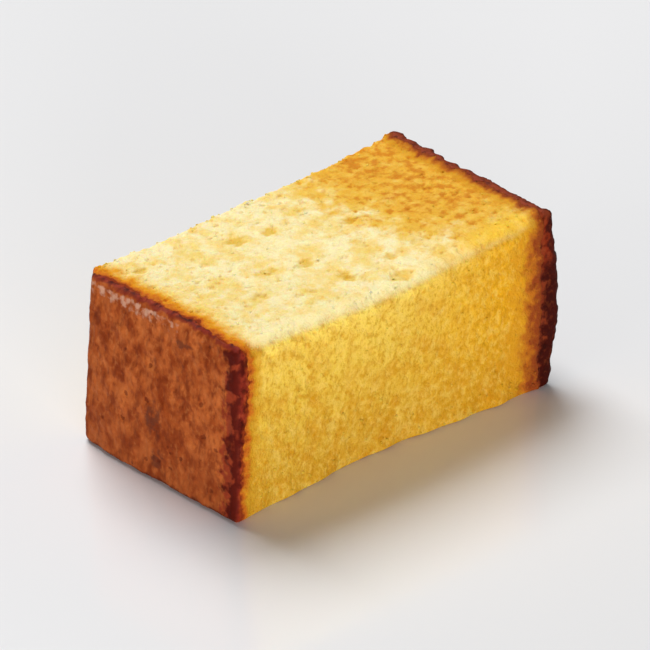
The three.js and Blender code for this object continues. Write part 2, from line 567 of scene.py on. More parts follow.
@dataclass(frozen=True)
class Finish:
    """A finish of two coats, one where a number kept on the mesh is 0 and the other where it is 1.

    Relief gives how many millimetres each pattern stands proud, and roughness gives a pattern and
    the roughness at its low and its high places.
    """

    name: str
    turn: str
    first: Coat
    second: Coat
    over: tuple[Tint, ...]
    values: tuple[str, ...]
    grains: tuple[Grain, ...]
    dots: tuple[Dots, ...]
    frayed: tuple[Frayed, ...]
    relief: tuple[tuple[str, float], ...]
    roughness: tuple[str, float, float]
    specular: float
    ior: float
    glow: float
    glow_mm: Triple

    def patterns(self, tree: bpy.types.NodeTree) -> Sockets:
        """Builds the patterns on Object coordinates, in millimetres.

        Args:
            tree: Node tree of the material.

        Returns:
            The output of each pattern and of each number kept on the mesh, by name.
        """
        add = partial(add_node, tree)
        origin = add("ShaderNodeTexCoord", {}).outputs["Object"]
        place = add("ShaderNodeVectorMath", {0: origin, "Scale": 1 / MM}, operation="SCALE")
        axes = add("ShaderNodeSeparateXYZ", {0: place})
        found = {"along": axes.outputs["X"], "height": axes.outputs["Z"]}
        for name in self.values:
            found[name] = add("ShaderNodeAttribute", {}, attribute_name=name).outputs["Fac"]
        for grain in self.grains:
            scale = [1 / (grain.pitch * drawn) for drawn in grain.drawn]
            spot = add("ShaderNodeMapping", {"Vector": place, "Scale": scale})
            links = {"Vector": spot, "Scale": 1.0, "Detail": grain.detail}
            noise = add("ShaderNodeTexNoise", links)
            links = {"Value": noise, "From Min": NOISE_RANGE[0], "From Max": NOISE_RANGE[1]}
            found[grain.name] = add("ShaderNodeMapRange", links).outputs["Result"]
        for dots in self.dots:
            cells = add("ShaderNodeTexVoronoi", {"Vector": place, "Scale": 1 / dots.spacing})
            chance = add("ShaderNodeSeparateColor", {"Color": cells.outputs["Color"]})
            widest = dots.radius / dots.spacing
            links = {"Value": chance.outputs["Red"], "To Min": widest / 2, "To Max": widest}
            size = add("ShaderNodeMapRange", links)
            links = {"Value": cells.outputs["Distance"], "From Min": size, "From Max": 0.0}
            dot = add("ShaderNodeMapRange", links, interpolation_type="SMOOTHSTEP")
            links = {0: chance.outputs["Green"], 1: dots.share}
            kept = add("ShaderNodeMath", links, operation="LESS_THAN")
            both = add("ShaderNodeMath", {0: dot, 1: kept}, operation="MULTIPLY")
            found[dots.name] = both.outputs[0]
        for frayed in self.frayed:
            links = {0: found[frayed.grain], 1: frayed.by, 2: -frayed.by / 2}
            moved = add("ShaderNodeMath", links, operation="MULTIPLY_ADD")
            total = add("ShaderNodeMath", {0: found[frayed.value], 1: moved}, operation="ADD")
            found[frayed.name] = total.outputs[0]
        return found

    def painted(
        self, tree: bpy.types.NodeTree, found: Sockets, ground: object, tints: tuple[Tint, ...]
    ) -> object:
        """Lays tints over a ground.

        Args:
            tree: Node tree of the material.
            found: The patterns by name.
            ground: Colour, or the node that gives it.
            tints: The tints from the lowest to the topmost.

        Returns:
            The node that gives the colour, or the ground where there are no tints.
        """
        for tint in tints:
            links = {
                "Value": found[tint.pattern],
                "From Min": tint.start,
                "From Max": tint.end,
                "To Max": tint.strength,
            }
            share = add_node(tree, "ShaderNodeMapRange", links, interpolation_type="SMOOTHSTEP")
            links = {"Factor": share, "A": ground, "B": linear(tint.colour)}
            blend = {"data_type": "RGBA", "blend_type": tint.how.value}
            ground = add_node(tree, "ShaderNodeMix", links, **blend)
        return ground

    def material(self) -> bpy.types.Material:
        """Builds the material.

        Returns:
            The material, which reads the numbers kept on its mesh.
        """
        material = bpy.data.materials.new(self.name)
        material.use_nodes = True
        tree = material.node_tree
        tree.nodes.clear()
        add = partial(add_node, tree)
        found = self.patterns(tree)
        coats = [
            self.painted(tree, found, linear(coat.colour), coat.tints)
            for coat in (self.first, self.second)
        ]
        links = {"Factor": found[self.turn], "A": coats[0], "B": coats[1]}
        both = add("ShaderNodeMix", links, data_type="RGBA")
        colour = self.painted(tree, found, both, self.over)
        height = 0.0
        for name, proud in self.relief:
            links = {0: found[name], 1: proud, 2: height}
            height = add("ShaderNodeMath", links, operation="MULTIPLY_ADD")
        bump = add("ShaderNodeBump", {"Height": height, "Strength": 1.0, "Distance": MM})
        pattern, low, high = self.roughness
        links = {"Value": found[pattern], "To Min": low, "To Max": high}
        rough = add("ShaderNodeMapRange", links)
        shader = add(
            "ShaderNodeBsdfPrincipled",
            {
                "Base Color": colour,
                "Roughness": rough,
                "Normal": bump,
                "IOR": self.ior,
                "Specular IOR Level": self.specular,
                "Subsurface Weight": self.glow,
                "Subsurface Radius": self.glow_mm,
                "Subsurface Scale": MM,
            },
        )
        add("ShaderNodeOutputMaterial", {"Surface": shader})
        return material


# Castella crumb is a fine egg sponge, cut with a long knife. Yolk and honey make it golden, and the
# open cells scatter light: a matt, soft surface that glows at its thin edges. The cut on top is
# painted pale, partly where it has dried and partly as a painted sheen of the light on it; its
# holes are painted a deeper yellow as painted shade, and near the right crust the oven toasted it.
CUT_SPONGE = Finish(
    name="knife-cut castella sponge",
    turn="top",
    first=Coat(
        "#e1b944",
        (
            Tint("height", 13.0, 25.5, "#f0cb58", 0.75),
            # Painted glow: the side is painted paler and brighter just under its top edge, where
            # the light falls off round it.
            Tint("height", 22.4, 25.0, "#ffe16c", 0.92),
            Tint("along", -4.0, 22.0, "#e7a506", 0.85),
            Tint("height", 19.0, 1.0, "#d09926", 0.75),
            Tint("cloud", 0.35, 0.95, "#d4982a", 0.5),
            Tint("mottle", 0.5, 0.05, "#efd06c", 0.3),
            Tint("mottle", 0.5, 1.0, "#c98a16", 0.5),
            Tint("fleck", 0.5, 1.0, "#c88c08", 0.55),
            Tint("fleck", 0.5, 0.0, "#ecc75e", 0.4),
            Tint("left front", 3.6, 1.8, "#cf9622"),
        ),
    ),
    # Coat of the cut on top: paler, partly dried and partly a painted sheen of the light that falls
    # on the top.
    second=Coat(
        "#fdebb2",
        (
            Tint("cloud", 0.25, 0.9, "#f3cf68", 0.75),
            Tint("mottle", 0.5, 0.1, "#fff2ca", 0.3),
            Tint("mottle", 0.5, 0.95, "#efc75a", 0.3),
            Tint("fleck", 0.55, 1.0, "#eec65c", 0.2),
            Tint("toasted", 0.0, 0.75, "#f0c146", 0.9),
            Tint("toasted", 0.5, 1.15, "#e9ac36", 0.7),
            Tint("scorched", 0.4, 1.15, "#e4a12c", 0.7),
            Tint("scorched", 0.85, 1.4, "#cb7216", 0.65),
            Tint("left front", 4.3, 2.6, "#f5ca5a", 0.7),
            Tint("left front", 3.3, 1.9, "#e79a1c"),
        ),
    ),
    over=(
        # Painted glow of light on the near top edge: pale at the left, golden towards the right
        # crust.
        Tint("brow", 0.0, 1.0, "#ffedb2", 0.8),
        Tint("gleam", 0.0, 0.85, "#fbc83e", 0.8),
        # Painted shade: bubbles, pores and dishes are painted deeper yellow and darker in their
        # hollows.
        Tint("bubble", 0.1, 0.9, "#f2dfa6", 0.15, Blend.DEEPEN),
        Tint("grit", 0.5, 0.95, "#f0dca0", 0.15, Blend.DEEPEN),
        Tint("pore", 0.08, 0.8, "#f4de8a", 0.2, Blend.DEEPEN),
        Tint("dish", 0.0, 1.0, "#eed560", 0.7, Blend.DEEPEN),
        Tint("speck", 0.2, 0.7, "#a9631f", 0.7),
        Tint("left front", 2.2, 1.25, "#c4601a", 0.9),
        Tint("left front", 1.4, 0.95, "#8a3414"),
        Tint("right front", 4.7, 2.8, "#d4931e", 0.8),
        Tint("right front", 3.0, 1.9, "#b6621a", 0.85),
        Tint("right front", 2.1, 1.2, "#8e3e18", 0.95),
    ),
    values=("top", "toast", "pore", "dish", "brow", "gleam", "bake_left", "bake_right"),
    grains=(
        Grain("cloud", 3.5),
        Grain("mottle", 1.7, 3.0, (1.0, 1.0, 1.15)),
        Grain("fleck", 0.7, 2.0, (1.0, 1.0, 1.15)),
        Grain("grit", 0.32, 1.0),
        Grain("patch", 2.3, 3.0),
        Grain("scorch", 1.3, 2.0),
        Grain("fray", 1.7, 3.0),
    ),
    dots=(Dots("bubble", 0.75, 0.36), Dots("speck", 4.5, 0.42, 0.12)),
    frayed=(
        Frayed("toasted", "toast", "patch", 0.75),
        Frayed("scorched", "toast", "scorch", 1.0),
        Frayed("left front", "bake_left", "fray", 0.9),
        Frayed("right front", "bake_right", "fray", 1.1),
    ),
    relief=(("mottle", 0.06), ("fleck", 0.06), ("grit", 0.05), ("bubble", -0.05)),
    roughness=("mottle", 0.9, 0.8),
    specular=0.1,
    ior=1.4,
    glow=0.45,
    glow_mm=(1.8, 1.0, 0.3),
)

# The left crust lay against the paper of the tin. Its sugars caramelised to a thin leathery rind,
# mottled brown and pitted where bubbles touched the paper, with pale beads of painted highlight
# under its top edge, where its rounded rim catches the light.
PAPERED_CRUST = Finish(
    name="castella crust baked against paper",
    turn="skin",
    first=Coat(
        "#84291a",
        (
            Tint("blot", 0.35, 0.75, "#440b06", 0.9),
            Tint("layer", 0.6, 1.05, "#9c3e16", 0.8),
            Tint("fleck", 0.5, 0.9, "#3a0a06", 0.7),
            Tint("fleck", 0.4, 0.0, "#ac4a2c", 0.5),
        ),
    ),
    second=Coat(
        "#b45c2a",
        (
            Tint("cloud", 0.2, 0.9, "#964218", 0.7),
            Tint("mottle", 0.35, 1.0, "#782b0c", 0.8),
            Tint("mottle", 0.4, 0.0, "#c86e34", 0.5),
            Tint("fleck", 0.5, 1.0, "#6a250c", 0.5),
            Tint("fleck", 0.4, 0.0, "#cc763e", 0.35),
            Tint("height", 15.0, 1.0, "#8a4020", 0.3),
            Tint("stain", 0.0, 0.7, "#5c2e20", 0.65),
            Tint("near edge", 3.2, 1.9, "#8a301c", 0.85),
            Tint("dark edge", 2.5, 0.9, "#4a0c07", 0.9),
            Tint("foot edge", 0.9, 0.3, "#4c1a0e", 0.75),
            # Painted highlight: pale beads under the top edge, where the rim catches the light.
            Tint("syrup", 0.56, 1.3, "#cc9a80", 0.85),
            Tint("top edge", 0.6, 0.15, "#782820", 0.75),
        ),
    ),
    over=(Tint("pit", 0.01, 0.07, "#5e200e", 0.6),),
    values=("skin", "bake", "near_mm", "top_mm", "foot_mm", "lip", "pit", "stained"),
    grains=(
        Grain("cloud", 5.5),
        Grain("mottle", 2.1, 3.0, (1.0, 1.0, 1.3)),
        Grain("fleck", 0.75, 2.0, (1.0, 1.0, 1.5)),
        Grain("fray", 1.2, 3.0),
        Grain("blot", 1.9, 3.0),
        Grain("bead", 1.0, 2.0),
    ),
    dots=(),
    frayed=(
        Frayed("layer", "bake", "fray", 0.4),
        Frayed("near edge", "near_mm", "fray", 2.6),
        Frayed("dark edge", "near_mm", "blot", 4.2),
        Frayed("foot edge", "foot_mm", "fray", 0.6),
        Frayed("top edge", "top_mm", "fray", 0.6),
        Frayed("syrup", "lip", "bead", 1.1),
        Frayed("stain", "stained", "fray", 1.3),
    ),
    relief=(("mottle", 0.07), ("fleck", 0.04)),
    roughness=("mottle", 0.5, 0.65),
    specular=0.06,
    ior=1.4,
    glow=0.06,
    glow_mm=(0.6, 0.24, 0.1),
)

# The right crust faced the heat. Its syrup boiled up and dried to a thick, dark, dull rind, nearly
# black in the cut through it and rusty where it passes into the crumb.
OPEN_CRUST = Finish(
    name="castella crust baked open",
    turn="skin",
    first=Coat(
        "#3e0d06",
        (
            Tint("top edge", 9.5, 5.5, "#8c2e12", 0.8),
            Tint("layer", 0.7, 1.15, "#86361a", 0.85),
            Tint("layer", 0.85, 0.5, "#400e07", 0.9),
            Tint("mottle", 0.5, 0.95, "#240703", 0.6),
            # Lighter, rustier brown at the top edge of the cut rim: partly rust, partly a painted
            # sheen of the light on it.
            Tint("top edge", 1.1, 0.2, "#98442a", 0.6),
            Tint("fleck", 0.5, 0.95, "#34100a", 0.5),
            Tint("fleck", 0.4, 0.0, "#9a4a24", 0.15),
        ),
    ),
    second=Coat(
        "#3e1307",
        (
            Tint("mottle", 0.5, 0.1, "#58200c", 0.8),
            Tint("mottle", 0.55, 1.0, "#2d0b04", 0.8),
            Tint("fleck", 0.5, 0.1, "#703012", 0.45),
            Tint("cloud", 0.6, 0.9, "#290d08", 0.5),
            # Painted sheen: the skin is painted lighter along its top edge, where it catches the
            # light.
            Tint("top edge", 0.8, 0.2, "#6e2c18", 0.5),
        ),
    ),
    over=(Tint("pit", 0.004, 0.05, "#2a0b05", 0.5),),
    values=("skin", "bake", "top_mm", "pit"),
    grains=(
        Grain("cloud", 6.0),
        Grain("mottle", 1.7, 3.0),
        Grain("fleck", 0.7, 2.0),
        Grain("fray", 1.5, 3.0),
    ),
    dots=(),
    frayed=(
        Frayed("layer", "bake", "fray", 0.8),
        Frayed("top edge", "top_mm", "fray", 1.0),
    ),
    relief=(("mottle", 0.07), ("fleck", 0.05)),
    roughness=("mottle", 0.5, 0.62),
    specular=0.05,
    ior=1.4,
    glow=0.03,
    glow_mm=(0.6, 0.24, 0.1),
)


@dataclass(frozen=True)
class Bubbles:
    """One size of air bubble in the dough: spacing, radii and bend of their rows in millimetres.

    Wall is the share of a radius over which the rim of a hole is soft.
    """

    spacing: float
    smallest: float
    largest: float
    share: float
    bend: float
    seed: float
    wall: float = 0.3

    def inputs(self) -> dict[str, float]:
        """Gives the sizes by the names of the group's inputs."""
        return {name.capitalize(): size for name, size in asdict(self).items()}


@dataclass(frozen=True)
class OpenedBubbles:
    """Depth of the bubbles that a cut or a skin has opened, as a group of geometry nodes.

    Bubbles are balls of random size at random places. A point of the surface that lies inside one
    sinks along its normal to the ball's far wall, so each hole is as wide as the cut makes it.
    """

    usual: Bubbles = Bubbles(2.0, 0.3, 0.7, 0.6, 0.3, 0.0)
    bend_pitch: float = 1.3
    scattered: float = 0.72
    scatter: Triple = (17.3, 5.1, 9.7)

    def tree(self) -> bpy.types.NodeTree:
        """Builds the group, with lengths in millimetres.

        Returns:
            The group, whose result is the depth below the surface.
        """
        nowhere = (0.0, 0.0, 0.0)
        inputs = {"Place": nowhere, "Normal": nowhere, **self.usual.inputs()}
        tree, given, result = geometry_tree("opened bubbles", inputs, "NodeSocketFloat")
        add = partial(add_node, tree)

        # Rows of bubbles bend, and each seed has its own place in the pattern.
        links = {"Vector": given["Place"], "Scale": 1 / self.bend_pitch, "Detail": 1.0}
        noise = add("ShaderNodeTexNoise", links)
        links = {0: noise.outputs["Color"], 1: (0.5, 0.5, 0.5)}
        centred = add("ShaderNodeVectorMath", links, operation="SUBTRACT")
        bend = add("ShaderNodeVectorMath", {0: centred, "Scale": given["Bend"]}, operation="SCALE")
        bent = add("ShaderNodeVectorMath", {0: given["Place"], 1: bend}, operation="ADD")
        links = {0: self.scatter, "Scale": given["Seed"]}
        shift = add("ShaderNodeVectorMath", links, operation="SCALE")
        place = add("ShaderNodeVectorMath", {0: bent, 1: shift}, operation="ADD")
        rate = add("ShaderNodeMath", {0: 1.0, 1: given["Spacing"]}, operation="DIVIDE")
        links = {"Vector": place, "Scale": rate, "Randomness": self.scattered}
        cells = add("ShaderNodeTexVoronoi", links)
        chance = add("FunctionNodeSeparateColor", {"Color": cells.outputs["Color"]})
        links = {"To Min": given["Smallest"], "To Max": given["Largest"]}
        radius = add("ShaderNodeMapRange", {"Value": chance.outputs["Red"], **links})

        # Way from the point to the far wall of its ball, against the normal.
        links = {0: place, 1: cells.outputs["Position"]}
        away = add("ShaderNodeVectorMath", links, operation="SUBTRACT")
        distance = add("ShaderNodeVectorMath", {0: away}, operation="LENGTH").outputs["Value"]
        links = {0: away, 1: given["Normal"]}
        dot = add("ShaderNodeVectorMath", links, operation="DOT_PRODUCT")
        above = dot.outputs["Value"]
        reach = add("ShaderNodeMath", {0: radius, 1: radius}, operation="MULTIPLY")
        beside = add("ShaderNodeMath", {0: distance, 1: distance}, operation="MULTIPLY")
        room = add("ShaderNodeMath", {0: above, 1: above, 2: reach}, operation="MULTIPLY_ADD")
        spare = add("ShaderNodeMath", {0: room, 1: beside}, operation="SUBTRACT")
        held = add("ShaderNodeMath", {0: spare, 1: 0.0}, operation="MAXIMUM")
        root = add("ShaderNodeMath", {0: held}, operation="SQRT")
        way = add("ShaderNodeMath", {0: above, 1: root}, operation="ADD")

        # The rim of a hole is soft over a share of its radius.
        inside = add("ShaderNodeMath", {0: radius, 1: distance}, operation="SUBTRACT")
        wall = add("ShaderNodeMath", {0: radius, 1: given["Wall"]}, operation="MULTIPLY")
        links = {"Value": inside, "From Max": wall}
        opened = add("ShaderNodeMapRange", links, interpolation_type="SMOOTHSTEP")
        links = {0: chance.outputs["Green"], 1: given["Share"]}
        chosen = add("ShaderNodeMath", links, operation="LESS_THAN")
        sunk = add("ShaderNodeMath", {0: way, 1: opened}, operation="MULTIPLY")
        kept = add("ShaderNodeMath", {0: sunk, 1: chosen}, operation="MULTIPLY")
        tree.links.new(kept.outputs[0], result)
        return tree


@dataclass(frozen=True)
class Dish:
    """A wide shallow hole in the cut on top: its middle and its half axes in millimetres."""

    x: float
    y: float
    half_x: float
    half_y: float


@dataclass
class Crumb:
    """The sponge between the crusts: a tube along the slice, closed at both ends inside the crusts.

    Lengths are in millimetres. The near top edge carries a painted glow of light, pale at the left
    and golden towards the right crust, and toast is the browned end of the cut on top. Cling gives
    how
    many crumbs stick to each place: evenly, and then at the far top, near top and near foot edges,
    with the most there and the distances of none and of most.
    """

    form: SliceForm
    step: float = 0.24
    foot_step: float = 0.62
    near_top_radius: float = 2.2
    far_top_radius: float = 0.9
    foot_radius: float = 0.6
    fewest_steps: int = 3
    end_depth: float = 0.65
    tuck: float = 0.35
    dive: Range = (-0.35, -0.05)
    faces_up: Range = (0.35, 0.95)
    unevenness: float = 0.13
    edge_unevenness: float = 0.24
    edge_reach: float = 1.6
    near_calm: float = 1.8
    lump_pitch: float = 1.5
    swell_pitch: float = 3.0
    noise_gain: float = 2.2
    foot_waver: float = 0.35
    foot_waver_pitch: float = 7.0
    foot_waver_height: float = 4.0
    foot_seed: int = 5
    free_height: float = 1.2
    free_least: float = 0.2
    free_from: float = -0.1
    relief_fade: float = 0.9
    cling_even: float = 0.05
    cling_edges: tuple[Triple, ...] = ((0.9, 1.6, 0.5), (0.25, 3.0, 1.0), (0.45, 4.0, 1.2))
    deepest: float = 0.2
    # Reach and fades of the glow of light painted on the near top edge.
    brow_reach: Range = (4.4, -0.4)
    brow_back: float = 0.75
    brow_down: float = 2.8
    brow_from: Range = (0.8, 3.2)
    brow_fade: Range = (0.0, 20.0)
    toast_start: Range = (9.0, 13.0)
    toast_across: Range = (-16.0, 1.0)
    toast_spread: float = 18.0
    toast_full: float = 4.0
    toast_blotch: float = 1.8
    toast_pitch: float = 5.5
    toast_seed: int = 31
    toast_near: float = 0.6
    toast_rise: Range = (-15.0, -4.0)
    bubbles: tuple[Bubbles, ...] = (
        Bubbles(3.1, 0.4, 0.85, 0.5, 0.9, 1.0),
        Bubbles(1.5, 0.2, 0.46, 0.65, 0.5, 2.0),
        Bubbles(0.9, 0.14, 0.3, 0.5, 0.3, 3.0),
    )
    dish_depth: float = 0.26
    dish_soft: Range = (-0.4, 1.1)
    dish_unevenness: float = 0.3
    dish_pitch: float = 1.4
    dish_seed: int = 41
    dishes: tuple[Dish, ...] = (
        Dish(-8.2, 8.4, 1.7, 1.4),
        Dish(-3.2, 7.2, 1.4, 1.1),
        Dish(-10.7, -0.5, 1.8, 1.2),
        Dish(-5.3, -2.3, 1.3, 1.3),
        Dish(-3.6, -8.4, 1.2, 1.9),
        Dish(1.8, -13.2, 2.2, 1.3),
        Dish(-16.0, -5.1, 1.3, 1.1),
        Dish(6.5, 2.0, 1.2, 1.0),
        Dish(-22.8, 10.7, 1.4, 0.8),
        Dish(4.0, -8.8, 1.1, 1.0),
    )

    def section(self) -> np.ndarray:
        """Outline of the crumb across the slice.

        Returns:
            Points in order, each with its Y, Z, and the Y and Z of its outward normal.
        """
        half, top = self.form.width / 2, self.form.height
        near, far, foot = self.near_top_radius, self.far_top_radius, self.foot_radius
        corners = [
            (-half + near, top - near, near, 180),
            (half - far, top - far, far, 90),
            (half - foot, foot, foot, 0),
            (-half + foot, foot, foot, -90),
        ]
        outline = []
        for number, (y, z, radius, start) in enumerate(corners):
            steps = max(self.fewest_steps, round(radius * math.pi / 2 / self.step))
            for angle in np.radians(np.linspace(start, start - 90, steps + 1)):
                normal = np.array([math.cos(angle), math.sin(angle)])
                outline.append([*(np.array([y, z]) + radius * normal), *normal])
            after = corners[(number + 1) % 4]
            angle = math.radians(after[3])
            normal = np.array([math.cos(angle), math.sin(angle)])
            here, there = np.array(outline[-1][:2]), np.array(after[:2]) + after[2] * normal

            # The foot, between the last two corners, is hidden and takes wider steps.
            pace = self.foot_step if number == 2 else self.step
            count = round(float(np.linalg.norm(there - here)) / pace)
            for share in np.linspace(0, 1, count + 1)[1:-1]:
                outline.append([*(here + (there - here) * share), *normal])
        return np.array(outline)

    def faces(self, rows: int, across: int) -> list[np.ndarray]:
        """Squares of the tube, and the triangles that close its two ends.

        Args:
            rows: Number of stations along the slice.
            across: Number of points at each station.

        Returns:
            The point numbers of the squares and of the triangles.
        """
        around = np.arange(across)
        after = (around + 1) % across
        starts = np.arange(rows - 1)[:, None] * across
        a, b = starts + around, starts + after
        tube = np.stack([a, a + across, b + across, b], -1).reshape(-1, 4)
        last, middle = (rows - 1) * across, np.full(across, rows * across)
        left = np.stack([around, after, middle], 1)
        right = np.stack([after + last, around + last, middle + 1], 1)
        return [tube, np.vstack([left, right])]

    def toast(self, x: Points, y: Points) -> Points:
        """How toasted the cut on top is.

        Args:
            x: Places along the slice.
            y: Places across the slice.

        Returns:
            From 0, pale, to 1, toasted through, with a slow blotchy front.
        """
        near, far = self.toast_start
        start = near + (far - near) * ease(y, *self.toast_across)
        blotch = self.toast_blotch * waver(np.stack([x, y], 1), self.toast_pitch, self.toast_seed)
        depth = self.form.length / 2 - x
        level = self.toast_near + (1 - self.toast_near) * ease(y, *self.toast_rise)
        return level * ease(depth + blotch, start + self.toast_spread, start - self.toast_full)

    def dish(self, x: Points, y: Points) -> Points:
        """How deep in a dish of the cut on top.

        Args:
            x: Places along the slice.
            y: Places across the slice.

        Returns:
            From 0, outside, to 1, at the middle.
        """
        apart = [
            ((x - dish.x) / dish.half_x) ** 2 + ((y - dish.y) / dish.half_y) ** 2
            for dish in self.dishes
        ]
        uneven = waver(np.stack([x, y], 1), self.dish_pitch, self.dish_seed)
        return ease(1 - np.min(apart, axis=0) + self.dish_unevenness * uneven, *self.dish_soft)

    def shell(self) -> bpy.types.Object:
        """Builds the smooth tube, with the numbers that the pores and the finish read.

        Returns:
            The object.
        """
        form, outline = self.form, self.section()
        reach = form.length / 2 - self.end_depth
        stations = np.linspace(-reach, reach, round(2 * reach / self.step) + 1)
        x = np.repeat(stations, len(outline))
        y, z, side, up = np.tile(outline, (len(stations), 1)).T
        left, right = x + form.length / 2, form.length / 2 - x

        # Under the rim of a crust the crumb dives, and it comes out where the crust ends.
        beyond = np.minimum(left - LEFT_SHAPE.thickness(y, z), right - RIGHT_SHAPE.thickness(y, z))
        dip = self.tuck * (1 - ease(beyond, *self.dive))
        low = ease(z, self.foot_waver_height, 0.0) * ease(-side, 0, 1)
        uneven = waver(np.stack([x, y], 1), self.foot_waver_pitch, self.foot_seed)
        foot_line = self.foot_waver * low * uneven
        facing = ease(up, *self.faces_up)
        dish = facing * self.dish(x, y)
        sunk = dip * up * (up > 0) + self.dish_depth * dish
        box = np.stack([x, y - dip * side - foot_line, z - sunk], 1)
        ends = np.array([[-reach, 0, form.height / 2], [reach, 0, form.height / 2]])
        points = np.vstack([form.place(box), form.place(ends)])

        half = form.width / 2
        near_edge = np.hypot(y + half, form.height - z)
        far_edge = np.hypot(half - y, form.height - z)
        foot_edge = np.hypot(y + half, z)
        inner = self.free_least + (1 - self.free_least) * ease(beyond, 0.0, self.relief_fade)
        free = ease(z, 0.0, self.free_height) * inner * (beyond > self.free_from)
        cling = self.cling_even
        for edge, (most, none, full) in zip((far_edge, near_edge, foot_edge), self.cling_edges):
            cling = cling + most * ease(edge, none, full)

        # The near top edge is painted with a glow of light: pale at the left, and more golden
        # towards the right crust.
        behind, below = self.brow_back * (y + half), self.brow_down * (form.height - z)
        painted_glow = ease(np.hypot(behind, below), *self.brow_reach) * ease(beyond, *self.brow_from)
        golden = ease(x, *self.brow_fade)
        values = {
            "bake_left": LEFT_SHAPE.bake(left, y, z),
            "bake_right": RIGHT_SHAPE.bake(right, y, z),
            "top": facing,
            "toast": self.toast(x, y) * facing,
            "dish": dish,
            "brow": painted_glow * (1 - golden),
            "gleam": painted_glow * golden,
            "edge": np.exp(-np.minimum(near_edge + self.near_calm, far_edge) / self.edge_reach),
            "free": free,
            "cling": cling * free,
        }
        values = {name: np.append(numbers, [0.0, 0.0]) for name, numbers in values.items()}
        faces = self.faces(len(stations), len(outline))
        return mesh_object("castella_crumb", points, faces, values)

    def surface_tree(
        self, opened: bpy.types.NodeTree, sizes: dict[str, object]
    ) -> bpy.types.NodeTree:
        """Builds the tree that opens the pores and roughens the cut.

        Args:
            opened: The group of opened bubbles.
            sizes: Value of each named input.

        Returns:
            The tree.
        """
        inputs = {"Geometry": None, **sizes}
        tree, given, result = geometry_tree("cut crumb", inputs, "NodeSocketGeometry")
        add = partial(add_node, tree)
        edge, free = (
            add("GeometryNodeInputNamedAttribute", {"Name": name}, data_type="FLOAT")
            for name in ("edge", "free")
        )
        place, normal = millimetres(tree), add("GeometryNodeInputNormal", {})

        # Each point takes the deepest of the holes that it lies in.
        depth = 0.0
        for size in self.bubbles:
            links = {"Place": place, "Normal": normal, **size.inputs()}
            hole = add("GeometryNodeGroup", links, node_tree=opened)
            depth = add("ShaderNodeMath", {0: depth, 1: hole}, operation="MAXIMUM")
        depth = add("ShaderNodeMath", {0: depth, 1: given["Deepest"]}, operation="MINIMUM")
        share = add("ShaderNodeMath", {0: depth, 1: given["Deepest"]}, operation="DIVIDE")

        # Lumps and slow swells, stronger at the edges, where crumbs have torn away.
        relief = -1.0
        for pitch in ("Lump pitch", "Swell pitch"):
            rate = add("ShaderNodeMath", {0: 1.0, 1: given[pitch]}, operation="DIVIDE")
            noise = add("ShaderNodeTexNoise", {"Vector": place, "Scale": rate, "Detail": 2.0})
            relief = add("ShaderNodeMath", {0: noise, 1: relief}, operation="ADD")
        links = {0: edge, 1: given["Edge unevenness"], 2: given["Unevenness"]}
        rough = add("ShaderNodeMath", links, operation="MULTIPLY_ADD")
        full = add("ShaderNodeMath", {0: relief, 1: self.noise_gain}, operation="MULTIPLY")
        lumps = add("ShaderNodeMath", {0: full, 1: rough}, operation="MULTIPLY")
        out = add("ShaderNodeMath", {0: lumps, 1: depth}, operation="SUBTRACT")
        held = add("ShaderNodeMath", {0: out, 1: free}, operation="MULTIPLY")
        # The depth share of each pore is kept for the shade painted in it.
        links = {"Geometry": given["Geometry"], "Name": "pore", "Value": share}
        store = {"data_type": "FLOAT", "domain": "POINT"}
        kept = add("GeometryNodeStoreNamedAttribute", links, **store)
        end_tree(tree, kept, held, given["Material"], result)
        return tree

    def build(self, opened: bpy.types.NodeTree, material: bpy.types.Material) -> bpy.types.Object:
        """Builds and dresses the crumb.

        Args:
            opened: The group of opened bubbles.
            material: Material of the crumb.

        Returns:
            The finished piece.
        """
        piece = self.shell()
        sizes = {
            "Deepest": self.deepest,
            "Unevenness": self.unevenness,
            "Edge unevenness": self.edge_unevenness,
            "Lump pitch": self.lump_pitch,
            "Swell pitch": self.swell_pitch,
            "Material": material,
        }
        piece.data = grow(piece, self.surface_tree(opened, sizes), sizes)
        return piece


